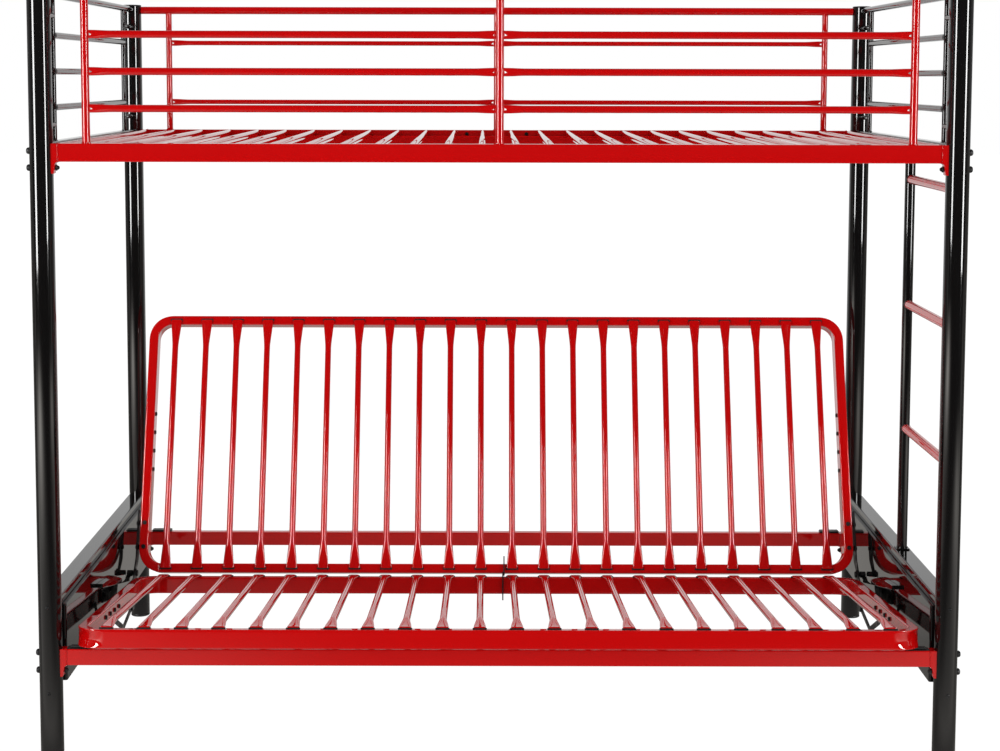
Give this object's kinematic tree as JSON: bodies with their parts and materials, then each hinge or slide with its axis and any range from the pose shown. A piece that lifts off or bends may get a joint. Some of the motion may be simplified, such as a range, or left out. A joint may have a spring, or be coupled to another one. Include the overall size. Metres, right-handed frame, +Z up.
{
  "type": "futon bunk bed",
  "caption": "Tube-framed bunk bed with a slatted upper bunk, side ladder and a lower slatted seat whose back folds down flat into a second bed.",
  "frame": {"origin": "on the floor under the middle of the bounding box", "axes": "+X along the bed to the right as seen from the front, +Y from the front to the back, +Z up"},
  "size_m": [2.0424, 1.089, 1.69],
  "materials": {
    "red_powder_coat": "gloss",
    "black_powder_coat": "gloss",
    "black_plastic": "satin",
    "blackened_steel": "satin"
  },
  "bodies": {
    "bunk_frame": {"back_guard": "red_powder_coat", "front_guard": "red_powder_coat", "glide_saddle_left": "black_plastic", "glide_saddle_right": "black_plastic", "ladder_foot_plate": "black_powder_coat", "ladder_rail": "black_powder_coat", "ladder_rung_bottom": "red_powder_coat", "ladder_rung_middle": "red_powder_coat", "ladder_rung_top": "red_powder_coat", "lower_back_rail": "red_powder_coat", "lower_end_beam_left": "black_powder_coat", "lower_end_beam_right": "black_powder_coat", "lower_front_rail": "red_powder_coat", "post_back_left": "black_powder_coat", "post_back_right": "black_powder_coat", "post_foot_back_left": "black_plastic", "post_foot_back_right": "black_plastic", "post_foot_front_left": "black_plastic", "post_foot_front_right": "black_plastic", "post_front_left": "black_powder_coat", "post_front_right": "black_powder_coat", "post_top_cap_back_left": "black_plastic", "post_top_cap_back_right": "black_plastic", "post_top_cap_front_left": "black_plastic", "post_top_cap_front_right": "black_plastic", "rail_bolt_lower_back_left": "blackened_steel", "rail_bolt_lower_back_right": "blackened_steel", "rail_bolt_lower_front_left": "blackened_steel", "rail_bolt_lower_front_right": "blackened_steel", "rail_bolt_upper_back_left": "blackened_steel", "rail_bolt_upper_back_right": "blackened_steel", "rail_bolt_upper_front_left": "blackened_steel", "rail_bolt_upper_front_right": "blackened_steel", "rear_glide_left": "black_plastic", "rear_glide_right": "black_plastic", "roller_track_left": "black_powder_coat", "roller_track_right": "black_powder_coat", "side_plate_left": "black_powder_coat", "side_plate_right": "black_powder_coat", "upper_back_rail": "red_powder_coat", "upper_end_panel_left": "black_powder_coat", "upper_end_panel_right": "black_powder_coat", "upper_front_rail": "red_powder_coat", "upper_slat_deck": "red_powder_coat"},
    "front_glides": {"glide_shoe_left": "black_plastic", "glide_shoe_right": "black_plastic"},
    "seat_deck": {"centre_hinge_seat_lug": "blackened_steel", "hinge_pin_left": "blackened_steel", "hinge_pin_right": "blackened_steel", "hinge_roller_left": "black_plastic", "hinge_roller_right": "black_plastic", "seat_brace_left": "blackened_steel", "seat_brace_right": "blackened_steel", "seat_deck": "red_powder_coat", "seat_hinge_bracket_left": "blackened_steel", "seat_hinge_bracket_right": "blackened_steel"},
    "back_deck": {"back_deck": "red_powder_coat", "back_hinge_bracket_left": "blackened_steel", "back_hinge_bracket_right": "blackened_steel", "centre_hinge_back_lug": "blackened_steel"}
  },
  "joints": [
    {"name": "glide_tilt", "type": "hinge", "parent": "bunk_frame", "child": "front_glides", "pos_m": [0, -0.50087, 0.2383], "axis": [1, 0, 0], "range_deg": [0, 6.67]},
    {"name": "seat_slide", "type": "slide", "parent": "front_glides", "child": "seat_deck", "axis": [0, -0.9932, 0.1162], "range_m": [0, 0.3395]},
    {"name": "back_fold", "type": "hinge", "parent": "seat_deck", "child": "back_deck", "pos_m": [0, 0.18812, 0.21099], "axis": [-1, 0, 0], "range_deg": [0, 77.17]}
  ],
  "couplings": [
    {"joint": "glide_tilt", "follows": "back_fold", "ratio": 0.086432},
    {"joint": "seat_slide", "follows": "back_fold", "m_per_rad": 0.25206}
  ]
}
